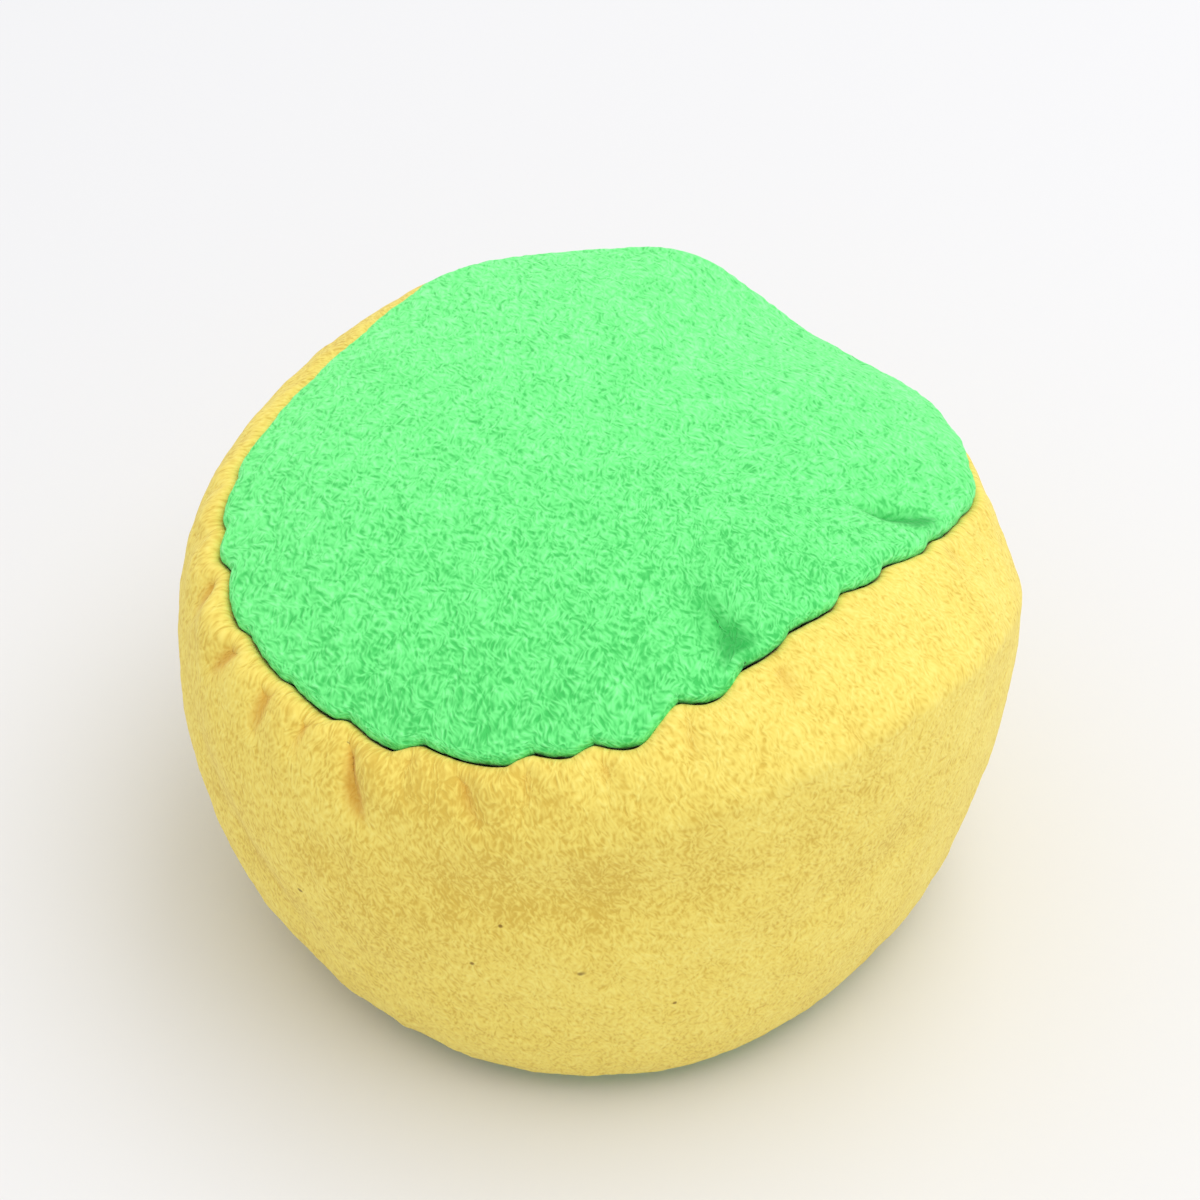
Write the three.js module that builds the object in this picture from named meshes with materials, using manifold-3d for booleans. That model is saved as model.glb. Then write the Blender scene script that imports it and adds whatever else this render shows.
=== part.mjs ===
// Three-panel footbag: two round end panels and one side band of napped fabric, sewn with turned seams and
// filled with plastic pellets. Millimetres, +Z up, origin at the centre of the flat resting face.
import * as THREE from "three";
import { mergeVertices } from "three/addons/utils/BufferGeometryUtils.js";
import Module from "manifold-3d";

// Fabric and seams. At a seam both layers turn into the bag, lie face to face and are stitched together.
const fabricThickness = 1;
const seamGap = 0.3; // between the two layers
const stitchDepth = 1.8; // from the fold to the stitches
const rawEdge = 2.2; // from the stitches to the cut edge
const panelLip = 0.5; // bending radius of an end panel into its seam, at mid fabric

// Form of the filled bag. The band has a shoulder, from the top seam out to its widest place, and below that a
// wall, down to the bottom seam.
const topSeamRadius = 23.3;
const topSeamHeight = 31.05;
const shoulderReach = 4.35; // top seam outwards to the widest place
const shoulderDrop = 6.55; // top seam down to the widest place
const shoulderPull = 0.8; // how far the turned layer carries on into the shoulder
const shoulderFullness = 0.4; // share of the drop that keeps the shoulder upright over the widest place
const wallFullness = 0.46; // share of the wall's height that keeps it upright under that place
const hemPull = 4.8; // how far the bottom seam's turned layer carries on into the wall
const bottomSeamRadius = 20.25;
const crownRise = 4.6; // middle of the top panel over its seam
const restRadius = 14; // flat part of the bottom panel
const hemLift = 0.2; // bottom panel's edge over the ground
const seamRoll = 48; // degrees from level to the turned-in layers

// How far slack fabric moves the form off a true round: one wave shifts or tilts it, two make it oval or a
// saddle, three and four give it corners
const topSeamShift = 0.3;
const topSeamOval = 0.75;
const topSeamThreeCorners = 0.25;
const topSeamFourCorners = 0.7;
const topSeamTilt = 1.95;
const topSeamSaddle = 2.4;
const topSeamThreeHumps = 0.75;
const reachShift = 0.7;
const reachOval = 1;
const reachThreeCorners = 0.35;
const reachFourCorners = 0.65;
const dropTilt = 0.55;
const dropSaddle = 1.6;
const pullShift = 0.5;
const fullnessShift = 0.26;
const bottomSeamShift = 0.35;
const bottomSeamOval = 0.7;
const bottomSeamThreeCorners = 0.95;

// Those waves by their count round the bag, the degrees of one crest and their size
const topRadiusWaves = [
  { count: 1, crest: 180, size: topSeamShift },
  { count: 2, crest: 40, size: topSeamOval },
  { count: 3, crest: 19, size: topSeamThreeCorners },
  { count: 4, crest: 7, size: topSeamFourCorners },
];
const topHeightWaves = [
  { count: 1, crest: -7, size: topSeamTilt },
  { count: 2, crest: -54, size: topSeamSaddle },
  { count: 3, crest: -44, size: topSeamThreeHumps },
];
const reachWaves = [
  { count: 1, crest: -13, size: reachShift },
  { count: 2, crest: -54, size: reachOval },
  { count: 3, crest: -42, size: reachThreeCorners },
  { count: 4, crest: -42, size: reachFourCorners },
];
const dropWaves = [
  { count: 1, crest: 123, size: dropTilt },
  { count: 2, crest: 30, size: dropSaddle },
];
const pullWaves = [{ count: 1, crest: 209, size: pullShift }];
const fullnessWaves = [{ count: 1, crest: 209, size: fullnessShift }];
const bottomRadiusWaves = [
  { count: 1, crest: 141, size: bottomSeamShift },
  { count: 2, crest: -51, size: bottomSeamOval },
  { count: 3, crest: 25, size: bottomSeamThreeCorners },
];

// Places where handling has pushed the fabric out, or in: degrees, half width in degrees and size
const cornerPush = 1;
const flatPush = -0.65;
const backHump = 1.45;
const leftHump = 0.7;
const shoulderDent = -0.75;
const topRadiusPushes = [
  { at: 355, halfWidth: 7, size: cornerPush },
  { at: 40, halfWidth: 12, size: flatPush },
];
const topHeightPushes = [
  { at: 72, halfWidth: 13, size: backHump },
  { at: 117, halfWidth: 13, size: leftHump },
];
const reachPushes = [{ at: 18, halfWidth: 13, size: shoulderDent }];
const pushFade = 4; // power by which a push dies away towards the middle of a panel

// Sewing thread
const threadDiameter = 0.5;
const threadClearance = 0.15;
const stitchLength = 4.8;
const knotDiameter = 1.1;
const closingSeamAngle = 90; // degrees, at the back
const closingStitchMargin = 1.5; // thread end to tab end

// Pellets in three shapes. Squareness 2 makes a profile an ellipse, more makes it a barrel.
const roundPelletDiameter = 4.2;
const ovalPelletLength = 4.6;
const ovalPelletDiameter = 3.7;
const barrelPelletLength = 4.4;
const barrelPelletDiameter = 3.8;
const pelletShapes = [
  { length: roundPelletDiameter, diameter: roundPelletDiameter, squareness: 2 },
  { length: ovalPelletLength, diameter: ovalPelletDiameter, squareness: 2 },
  { length: barrelPelletLength, diameter: barrelPelletDiameter, squareness: 4 },
];
const pelletGap = 0.3;
const looseLayers = 2;
const pelletsPerLayer = 16;
const pelletDimple = 0.7; // hollows between the packed pellets

// Facets
const facetsRound = 44;
const crownRings = 5;
const lipSteps = 3;
const shoulderSteps = 6;
const wallSteps = 5;
const tabSteps = 4;
const fillFacets = 36;
const fillRows = 5;
const threadSides = 4;
const knotFacets = 6;
const pelletFacets = 8;
const pelletRings = 4;

const wasm = await Module();
wasm.setup();

const seamAllowance = stitchDepth + rawEdge;
const layerOffset = (seamGap + fabricThickness) / 2; // seam plane to a layer's middle
const layerBack = seamGap / 2 + fabricThickness; // seam plane to a layer's far face
const threadRadius = threadDiameter / 2;
const threadStandOff = layerBack + threadRadius + 2 * threadClearance; // seam plane to a stitch's middle
const rightAngle = Math.PI / 2;
const rad = THREE.MathUtils.degToRad;
const closingAngle = rad(closingSeamAngle);
const roll = rad(seamRoll);
const cosRoll = Math.cos(roll);
const sinRoll = Math.sin(roll);
const lipRise = (layerOffset + panelLip) * cosRoll + panelLip; // seam to the top of an end panel's lip
const bottomSeamHeight = hemLift + fabricThickness / 2 + lipRise;

const range = (count) => Array.from({ length: count }, (_, i) => i);
const mix = (a, b, t) => a + (b - a) * t;

// A value that waves round the bag, damped towards the middle of a panel where reach goes from 1 to 0.
function waved(base, waves, theta, reach = 1) {
  const swing = (w) => w.size * reach ** w.count * Math.cos(w.count * (theta - rad(w.crest)));
  return waves.reduce((sum, w) => sum + swing(w), base);
}

// The pushes at an angle, damped in the same way. Each is a bell that falls to 1/e at its half width.
function pushed(pushes, theta, reach = 1) {
  const fall = (p) => (1 - Math.cos(theta - rad(p.at))) / (1 - Math.cos(rad(p.halfWidth)));
  return pushes.reduce((sum, p) => sum + p.size * reach ** pushFade * Math.exp(-fall(p)), 0);
}

// Each seam in the half plane at an angle round the axis: r outward, z up, and up is -1 where it is mirrored.
const topRadius = (theta) => waved(topSeamRadius, topRadiusWaves, theta);
const topHeight = (theta) => waved(topSeamHeight, topHeightWaves, theta);
const topSeam = (theta) => ({
  r: topRadius(theta) + pushed(topRadiusPushes, theta),
  z: topHeight(theta) + pushed(topHeightPushes, theta),
  up: 1,
});
const bottomSeam = (theta) => ({
  r: waved(bottomSeamRadius, bottomRadiusWaves, theta),
  z: bottomSeamHeight,
  up: -1,
});

// A point by its depth into the bag along a seam and its distance to a side, plus towards the end panel.
function seamPoint(seam, depth, side) {
  const inward = depth * cosRoll + side * sinRoll;
  const upward = side * cosRoll - depth * sinRoll;
  return [seam.r - inward, seam.z + seam.up * upward];
}

// Points of a bend about a centre, from one angle to another.
function bend(centre, radius, up, from, to) {
  return range(lipSteps + 1).map((i) => {
    const angle = mix(from, to, i / lipSteps);
    return [centre[0] + radius * Math.cos(angle), centre[1] + up * radius * Math.sin(angle)];
  });
}

const panelBend = (seam, from) =>
  bend(seamPoint(seam, 0, layerOffset + panelLip), panelLip, seam.up, from, roll - rightAngle);

// The crown's slope where it meets the lip, the same all round.
const crownSlope = Math.atan((2 * (crownRise - lipRise)) / topSeamRadius);

// Mid line of the top panel from its centre over the lip to the cut edge.
const topEdge = (theta) => panelBend(topSeam(theta), rightAngle - crownSlope)[0];
function crownHeight(theta, reach) {
  const edgeRise = topEdge(theta)[1] - topSeam(theta).z;
  const slack = waved(topSeamHeight, topHeightWaves, theta, reach) + pushed(topHeightPushes, theta, reach);
  return slack + mix(crownRise, edgeRise, reach ** 2);
}
function topPanelLine(theta) {
  const seam = topSeam(theta);
  const edge = topEdge(theta)[0];
  const crown = range(crownRings).map((i) => [(edge * i) / crownRings, crownHeight(theta, i / crownRings)]);
  const lip = panelBend(seam, rightAngle - crownSlope);
  return [...crown, ...lip, seamPoint(seam, seamAllowance, layerOffset)];
}

// Mid line of the bottom panel from its cut edge over the lip to the flat and its centre.
function bottomPanelLine(theta) {
  const seam = bottomSeam(theta);
  const flat = fabricThickness / 2;
  const lip = panelBend(seam, rightAngle).reverse();
  return [seamPoint(seam, seamAllowance, layerOffset), ...lip, [restRadius, flat], [0, flat]];
}

// Mid line of the band between its seams, from the top down.
function bandBody(theta) {
  const above = topSeam(theta);
  const below = bottomSeam(theta);
  const at = (seam, depth) => new THREE.Vector2(...seamPoint(seam, depth, -layerOffset));
  const reach = waved(shoulderReach, reachWaves, theta) + pushed(reachPushes, theta);
  const drop = waved(shoulderDrop, dropWaves, theta);
  const pull = waved(shoulderPull, pullWaves, theta);
  const widest = new THREE.Vector2(topRadius(theta) + reach, topHeight(theta) - drop);
  const foot = at(below, 0);
  const fullness = waved(shoulderFullness, fullnessWaves, theta);
  const overWidest = new THREE.Vector2(widest.x, widest.y + drop * fullness);
  const underWidest = new THREE.Vector2(widest.x, mix(widest.y, foot.y, wallFullness));
  const shoulder = new THREE.CubicBezierCurve(at(above, 0), at(above, -pull), overWidest, widest);
  const wall = new THREE.CubicBezierCurve(widest, underWidest, at(below, -hemPull), foot);
  const points = [...shoulder.getPoints(shoulderSteps), ...wall.getPoints(wallSteps).slice(1)];
  return points.map(({ x, y }) => [x, y]);
}
const bandLine = (theta) => [
  seamPoint(topSeam(theta), seamAllowance, -layerOffset),
  ...bandBody(theta),
  seamPoint(bottomSeam(theta), seamAllowance, -layerOffset),
];

// The radius of a falling line at a height.
function radiusAtHeight(line, z) {
  const k = line.findIndex(([, height], i) => i > 0 && height <= z);
  const [upperR, upperZ] = line[k - 1];
  const [lowerR, lowerZ] = line[k];
  return mix(upperR, lowerR, (upperZ - z) / (upperZ - lowerZ));
}

// A line's points moved sideways, plus to the left of its direction. Points on the axis stay on it.
function moveSideways(line, distance) {
  const leftOf = (a, b) => new THREE.Vector2(a[1] - b[1], b[0] - a[0]).normalize();
  return line.map((point, i) => {
    const before = leftOf(line[Math.max(i - 1, 0)], line[Math.max(i, 1)]);
    const after = leftOf(line[Math.min(i, line.length - 2)], line[Math.min(i + 1, line.length - 1)]);
    const left = before.clone().add(after).normalize();
    const reach = distance / left.dot(before);
    const [r, z] = point;
    return r === 0 ? [0, z + distance * Math.sign(left.y)] : [r + left.x * reach, z + left.y * reach];
  });
}

// The closed outline of fabric about its mid line: outer face first, then the inner face back.
const fabricOutline = (line) => [
  ...moveSideways(line, fabricThickness / 2),
  ...moveSideways(line, -fabricThickness / 2).reverse(),
];

const place = (theta, [r, z]) => new THREE.Vector3(r * Math.cos(theta), r * Math.sin(theta), z);

// Turns vertices and triangles into a solid, with coincident vertices merged and flat triangles left out.
const mergeDistance = 1e-4;
function solidFrom(geometry) {
  const bare = geometry.clone();
  Object.keys(bare.attributes)
    .filter((name) => name !== "position")
    .forEach((name) => bare.deleteAttribute(name));
  const merged = mergeVertices(bare, mergeDistance);
  const index = merged.index.array;
  const corners = range(index.length / 3)
    .map((i) => [index[3 * i], index[3 * i + 1], index[3 * i + 2]])
    .filter(([a, b, c]) => a !== b && b !== c && c !== a);
  const vertProperties = new Float32Array(merged.attributes.position.array);
  const triVerts = new Uint32Array(corners.flat());
  return new wasm.Manifold(new wasm.Mesh({ numProp: 3, vertProperties, triVerts }));
}

function geometryFrom(solid) {
  const { vertProperties, triVerts } = solid.getMesh();
  const geometry = new THREE.BufferGeometry();
  geometry.setAttribute("position", new THREE.BufferAttribute(vertProperties, 3));
  geometry.setIndex(new THREE.BufferAttribute(triVerts, 1));
  geometry.computeVertexNormals();
  return geometry;
}

function solidOfPoints(points, triangles) {
  const geometry = new THREE.BufferGeometry().setFromPoints(points);
  geometry.setIndex(triangles.flat());
  return solidFrom(geometry);
}

// Carries an outline round the axis. The angles close on themselves, or stop at two ends that are then capped
// between the outline's first half and its second.
function sweepRound(outlineAt, angles, closed) {
  const outlines = angles.map(outlineAt);
  const size = outlines[0].length;
  const points = outlines.flatMap((outline, j) => outline.map((point) => place(angles[j], point)));
  const at = (j, k) => (j % angles.length) * size + (k % size);
  const spans = range(closed ? angles.length : angles.length - 1);
  const sides = spans.flatMap((j) =>
    range(size).flatMap((k) => [
      [at(j, k), at(j, k + 1), at(j + 1, k + 1)],
      [at(j, k), at(j + 1, k + 1), at(j + 1, k)],
    ]),
  );
  const cap = (j) =>
    range(size / 2 - 1).flatMap((k) => [
      [at(j, k), at(j, k + 1), at(j, size - 2 - k)],
      [at(j, k), at(j, size - 2 - k), at(j, size - 1 - k)],
    ]);
  const turnOver = ([a, b, c]) => [a, c, b];
  const caps = closed ? [] : [...cap(0).map(turnOver), ...cap(angles.length - 1)];
  return solidOfPoints(points, [...sides, ...caps]);
}

const fullTurn = (facets) => range(facets).map((j) => (2 * Math.PI * j) / facets);

// A tube of a few sides through path points. Each point has a direction across that its sides are set by.
function threadTube(path, radius, closed) {
  const last = path.length - 1;
  const within = (i) => (closed ? (i + path.length) % path.length : THREE.MathUtils.clamp(i, 0, last));
  const points = path.flatMap(({ point, across }, i) => {
    const along = path[within(i + 1)].point.clone().sub(path[within(i - 1)].point).normalize();
    const level = along.clone().cross(across).normalize();
    return fullTurn(threadSides).map((turn) => {
      const corner = point.clone().addScaledVector(across, radius * Math.cos(turn));
      return corner.addScaledVector(level, radius * Math.sin(turn));
    });
  });
  const at = (i, j) => (i % path.length) * threadSides + (j % threadSides);
  const sides = range(closed ? path.length : last).flatMap((i) =>
    range(threadSides).flatMap((j) => [
      [at(i, j), at(i, j + 1), at(i + 1, j + 1)],
      [at(i, j), at(i + 1, j + 1), at(i + 1, j)],
    ]),
  );
  const fan = range(threadSides - 2).map((j) => j + 1);
  const caps = closed
    ? []
    : fan.flatMap((j) => [
        [at(0, 0), at(0, j + 1), at(0, j)],
        [at(last, 0), at(last, j), at(last, j + 1)],
      ]);
  return solidOfPoints(points, [...sides, ...caps]);
}

function knotBall(centre, radius) {
  const ball = new THREE.SphereGeometry(radius, knotFacets, knotFacets / 2 + 1);
  return solidFrom(ball.translate(centre.x, centre.y, centre.z));
}

// A sewn thread, and the room that it takes in the fabric: the same route, larger by the clearance.
function sewThread({ path, closed, knots }) {
  const grown = (extra) =>
    knots.reduce(
      (thread, centre) => thread.add(knotBall(centre, knotDiameter / 2 + extra)),
      threadTube(path, threadRadius + extra, closed),
    );
  return { thread: grown(0), room: grown(threadClearance) };
}

// Running stitch round a seam, through both layers at each crossing, with its knot inside the bag.
function roundStitch(seamAt, seamRadius) {
  const crossings = 2 * Math.round((Math.PI * seamRadius) / stitchLength);
  const pitch = (2 * Math.PI) / crossings;
  const lean = threadDiameter / seamRadius;
  const stitchPoint = (theta, side) => {
    const seam = seamAt(theta);
    const point = place(theta, seamPoint(seam, stitchDepth, side));
    const across = place(theta, seamPoint(seam, stitchDepth + 1, side)).sub(point);
    return { point, across };
  };
  const path = range(crossings).flatMap((i) => {
    const theta = closingAngle + (i + 0.5) * pitch;
    const side = i % 2 === 0 ? threadStandOff : -threadStandOff;
    return [stitchPoint(theta - lean, -side), stitchPoint(theta + lean, side)];
  });
  const knotSide = threadStandOff + knotDiameter / 2 - threadRadius;
  return { path, closed: true, knots: [stitchPoint(closingAngle + pitch, knotSide).point] };
}

// The closing seam lies in a half plane at the back. Its own axes are r, z and the distance across the plane.
const closingPlane = new THREE.Matrix4().makeBasis(
  new THREE.Vector3(1, 0, 0),
  new THREE.Vector3(0, 0, 1),
  new THREE.Vector3(0, -1, 0),
);
closingPlane.premultiply(new THREE.Matrix4().makeRotationZ(closingAngle));

// The stretch of wall that the band's ends turn in along, between the turned-in layers of the round seams.
const tabTop = seamPoint(topSeam(closingAngle), seamAllowance, -layerBack)[1] - pelletGap;
const tabBottom = seamPoint(bottomSeam(closingAngle), seamAllowance, -layerBack)[1] + pelletGap;
const tabLine = range(tabSteps + 1).map((i) => {
  const z = mix(tabTop, tabBottom, i / tabSteps);
  return [radiusAtHeight(bandBody(closingAngle), z), z];
});

// A plate in the closing plane from the wall's middle inwards, between two distances across the plane.
function wallPlate(depth, extraHeight, from, to) {
  const inner = moveSideways(tabLine, -fabricThickness / 2 - depth).reverse();
  const outline = [...tabLine, ...inner].map(([r, z], i) => {
    const isTop = i === 0 || i === 2 * tabLine.length - 1;
    const isBottom = i === tabLine.length - 1 || i === tabLine.length;
    return new THREE.Vector2(r, z + (isTop ? extraHeight : 0) - (isBottom ? extraHeight : 0));
  });
  const extrusion = { depth: to - from, bevelEnabled: false };
  const plate = new THREE.ExtrudeGeometry(new THREE.Shape(outline), extrusion);
  return solidFrom(plate.translate(0, 0, from).applyMatrix4(closingPlane));
}

function closingStitch() {
  const height = tabTop - tabBottom - 2 * closingStitchMargin;
  const crossings = Math.max(2, Math.floor(height / stitchLength));
  const stitchLine = moveSideways(tabLine, -fabricThickness / 2 - stitchDepth);
  const across = new THREE.Vector3(1, 0, 0).transformDirection(closingPlane);
  const stitchPoint = (z, side) => ({
    point: new THREE.Vector3(radiusAtHeight(stitchLine, z), z, side).applyMatrix4(closingPlane),
    across,
  });
  const start = tabBottom + closingStitchMargin;
  const pitch = height / crossings;
  const path = range(crossings).flatMap((i) => {
    const z = start + (i + 0.5) * pitch;
    const side = i % 2 === 0 ? threadStandOff : -threadStandOff;
    return [stitchPoint(z - threadDiameter, -side), stitchPoint(z + threadDiameter, side)];
  });
  const knotSide = threadStandOff + knotDiameter / 2 - threadRadius;
  const lastSide = crossings % 2 === 0 ? -1 : 1;
  const ends = [stitchPoint(start, -threadStandOff), stitchPoint(start + height, lastSide * threadStandOff)];
  const knots = [stitchPoint(start, -knotSide).point, stitchPoint(start + height, lastSide * knotSide).point];
  return { path: [ends[0], ...path, ends[1]], closed: false, knots };
}

const topStitch = sewThread(roundStitch(topSeam, topSeamRadius));
const bottomStitch = sewThread(roundStitch(bottomSeam, bottomSeamRadius));
const sideStitch = sewThread(closingStitch());

// An end panel goes all round and is pierced by its seam's thread.
const endPanel = (lineAt, stitch) =>
  sweepRound((theta) => fabricOutline(lineAt(theta)), fullTurn(facetsRound), true).subtract(stitch.room);
const topPanel = endPanel(topPanelLine, topStitch);
const bottomPanel = endPanel(bottomPanelLine, bottomStitch);

// The band is an open strip: its ends stop either side of the closing plane and turn in as tabs.
const halfSlit = seamGap / (topSeamRadius + bottomSeamRadius);
const stripAngles = range(facetsRound + 1).map(
  (j) => closingAngle + mix(halfSlit, 2 * Math.PI - halfSlit, j / facetsRound),
);
const strip = sweepRound((theta) => fabricOutline(bandLine(theta)), stripAngles, false);
const tabs = [
  wallPlate(seamAllowance, 0, seamGap / 2, layerBack),
  wallPlate(seamAllowance, 0, -layerBack, -seamGap / 2),
];
const sideBand = [topStitch, bottomStitch, sideStitch].reduce(
  (band, stitch) => band.subtract(stitch.room),
  tabs.reduce((band, tab) => band.add(tab), strip),
);

// Packed pellets fill the bag up to the loose ones under the top panel, clear of the turned-in fabric.
const pelletLength = Math.max(...pelletShapes.map((shape) => shape.length));
const layerPitch = pelletLength + pelletGap;
const looseDepth = looseLayers * layerPitch + pelletGap;
const turnedInReach = (theta) => seamPoint(topSeam(theta), seamAllowance, layerBack)[0];
const ceiling = (theta, r) => crownHeight(theta, r / topEdge(theta)[0]) - fabricThickness / 2;

function fillOutline(theta) {
  const above = topSeam(theta);
  const below = bottomSeam(theta);
  const underLayers = seamPoint(above, seamAllowance, -layerBack)[1] - pelletGap;
  const overLayers = seamPoint(below, seamAllowance, -layerBack)[1] + pelletGap;
  const topReach = turnedInReach(theta) - pelletGap;
  const bottomReach = seamPoint(below, seamAllowance, layerBack)[0] - pelletGap;
  const floor = fabricThickness + pelletGap;
  const crown = range(crownRings + 1).map((i) => {
    const r = (topReach * i) / crownRings;
    return [r, Math.min(ceiling(theta, r) - looseDepth, i === crownRings ? underLayers : Infinity)];
  });
  const wall = moveSideways(bandBody(theta), -fabricThickness / 2 - pelletGap);
  const rows = range(fillRows).map((i) => {
    const z = mix(underLayers, overLayers, i / (fillRows - 1));
    const hollow = (pelletDimple / 2) * (1 - Math.cos((fillFacets / 2) * theta + Math.PI * i));
    return [radiusAtHeight(wall, z) - hollow, z];
  });
  return [...crown, ...rows, [bottomReach, overLayers], [bottomReach, floor], [0, floor]];
}

const tabRoom = threadStandOff + knotDiameter + pelletGap;
const pelletFill = sweepRound(fillOutline, fullTurn(fillFacets), true).subtract(
  wallPlate(seamAllowance + pelletGap, 2 * pelletGap, -tabRoom, tabRoom),
);

// Loose pellets lie in layers under the top panel, each a sunflower pattern as wide as the turned-in fabric
// leaves room for.
const goldenAngle = Math.PI * (3 - Math.sqrt(5));
const leastReach = Math.min(...fullTurn(facetsRound).map(turnedInReach));
const patternRadius = leastReach - pelletLength / 2 - pelletGap;
const loosePlaces = range(looseLayers * pelletsPerLayer).map((k) => {
  const layer = Math.floor(k / pelletsPerLayer);
  const share = ((k % pelletsPerLayer) + 0.5) / pelletsPerLayer;
  const theta = k * goldenAngle;
  const r = patternRadius * Math.sqrt(share);
  return { theta, r, z: ceiling(theta, r) - pelletGap - pelletLength / 2 - layer * layerPitch };
});

function pelletGeometry({ length, diameter, squareness }) {
  const bulge = (share) => Math.sign(share) * Math.abs(share) ** (2 / squareness);
  const profile = range(pelletRings + 1).map((i) => {
    const angle = mix(-rightAngle, rightAngle, i / pelletRings);
    const isTip = i === 0 || i === pelletRings;
    const radius = isTip ? 0 : (diameter / 2) * bulge(Math.cos(angle));
    return new THREE.Vector2(radius, (length / 2) * bulge(Math.sin(angle)));
  });
  return geometryFrom(solidFrom(new THREE.LatheGeometry(profile, pelletFacets)));
}

const finishes = {
  greenNap: { color: 0x7af18c, roughness: 0.95, metalness: 0 },
  yellowNap: { color: 0xe9d368, roughness: 0.95, metalness: 0 },
  paleThread: { color: 0xe6dc96, roughness: 0.7, metalness: 0 },
  pelletPlastic: { color: 0xeef0ec, roughness: 0.35, metalness: 0 },
};

const footbag = new THREE.Group();
function addPiece(name, geometry, finish) {
  const mesh = new THREE.Mesh(geometry, new THREE.MeshStandardMaterial(finish));
  mesh.name = name;
  footbag.add(mesh);
  return mesh;
}

addPiece("top_panel", geometryFrom(topPanel), finishes.greenNap);
addPiece("side_band", geometryFrom(sideBand), finishes.yellowNap);
addPiece("bottom_panel", geometryFrom(bottomPanel), finishes.greenNap);
addPiece("top_seam_thread", geometryFrom(topStitch.thread), finishes.paleThread);
addPiece("bottom_seam_thread", geometryFrom(bottomStitch.thread), finishes.paleThread);
addPiece("side_seam_thread", geometryFrom(sideStitch.thread), finishes.paleThread);
addPiece("pellet_fill", geometryFrom(pelletFill), finishes.pelletPlastic);

const pelletGeometries = pelletShapes.map(pelletGeometry);
loosePlaces.forEach(({ theta, r, z }, k) => {
  const name = `pellet_${String(k + 1).padStart(2, "0")}`;
  const pellet = addPiece(name, pelletGeometries[k % pelletShapes.length], finishes.pelletPlastic);
  pellet.position.copy(place(theta, [r, z]));
  pellet.rotation.set(k * goldenAngle, k, theta);
});

export default footbag;
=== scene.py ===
import math

import bpy
import numpy as np
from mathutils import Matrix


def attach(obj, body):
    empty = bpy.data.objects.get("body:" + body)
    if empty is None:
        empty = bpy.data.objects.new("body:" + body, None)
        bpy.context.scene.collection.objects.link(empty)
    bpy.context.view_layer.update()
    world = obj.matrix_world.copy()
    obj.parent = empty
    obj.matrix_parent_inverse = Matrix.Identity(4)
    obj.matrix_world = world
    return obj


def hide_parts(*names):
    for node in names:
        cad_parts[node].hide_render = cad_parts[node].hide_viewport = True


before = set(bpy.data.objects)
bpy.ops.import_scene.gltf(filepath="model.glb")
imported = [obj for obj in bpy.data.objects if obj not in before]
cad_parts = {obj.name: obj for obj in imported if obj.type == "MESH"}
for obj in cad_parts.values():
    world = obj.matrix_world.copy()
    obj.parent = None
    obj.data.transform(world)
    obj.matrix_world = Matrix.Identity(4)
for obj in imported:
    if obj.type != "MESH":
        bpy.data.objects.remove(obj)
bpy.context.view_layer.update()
scene = bpy.context.scene
mm = 0.001  # the dictionaries below are in millimetres and degrees
rightAngle = math.pi / 2
fullTurn = 2 * math.pi
print("frame:", len(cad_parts), "solids")

view = dict(
    elevation=42, distance=351, aimHeight=16, pixelsPerMm=14.88, aimPixel=(594.7, 674.5), picture=1200,
    sensor=36, clip=(10, 10000),
)


def addCamera(v):
    # stands back from the aim point along the line of sight, and its lens makes one mm there pixelsPerMm
    # pixels long
    data = bpy.data.cameras.new("camera")
    data.sensor_width = v["sensor"]
    data.lens = v["sensor"] * v["distance"] * v["pixelsPerMm"] / v["picture"]
    data.shift_x = 0.5 - v["aimPixel"][0] / v["picture"]
    data.shift_y = v["aimPixel"][1] / v["picture"] - 0.5
    data.clip_start, data.clip_end = (reach * mm for reach in v["clip"])
    camera = bpy.data.objects.new("camera", data)
    tilt = math.radians(v["elevation"])
    back, up = v["distance"] * math.cos(tilt), v["aimHeight"] + v["distance"] * math.sin(tilt)
    camera.location = (0, -back * mm, up * mm)
    camera.rotation_euler = (rightAngle - tilt, 0, 0)
    scene.collection.objects.link(camera)
    scene.camera = camera


addCamera(view)

# Form of the filled bag: its sizes, then the slow waves of slack fabric by their count round the bag, the
# angle of one crest and their size, then local pushes by angle, half width and size
bag = dict(
    fabric=1, layerGap=0.12, allowance=4, stitchDepth=1.8, lip=0.28, hemLip=0.5, roll=48,
    topRadius=23.3, topHeight=31.05, crown=4.6, crownPower=3, inset=4.35, drop=6.55, shoulderPull=0.8,
    shoulderFull=0.4, hemRadius=20.25, hemHeight=1.97, hemPull=4.8, wallFull=0.46, rest=14, pushFade=4,
)
bagWaves = dict(
    topRadius=[(1, 180, 0.3), (2, 40, 0.75), (3, 19, 0.25), (4, 7, 0.7)],
    topHeight=[(1, -7, 1.95), (2, -54, 2.4), (3, -44, 0.75)],
    lip=[(1, 90, 0.18)],
    inset=[(1, -13, 0.7), (2, -54, 1), (3, -42, 0.35), (4, -42, 0.65)],
    drop=[(1, 123, 0.55), (2, 30, 1.6)],
    shoulderPull=[(1, 209, 0.5)],
    shoulderFull=[(1, 209, 0.26)],
    hemRadius=[(1, 141, 0.35), (2, -51, 0.7), (3, 25, 0.95)],
)
bagPushes = dict(
    topRadius=[
        (357, 8, 0.7), (13, 9, 0.1), (28, 8, 0.4), (48, 11, -0.3), (186, 7, -0.35), (306, 10, -0.5),
        (342, 6, 0.4),
    ],
    lip=[(14, 15, 0.5)],
    topHeight=[(74, 13, 1.7), (117, 13, 0.8), (352, 9, -0.2), (344, 4, -0.2)],
    inset=[(17, 13, -2.2)],
)
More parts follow.
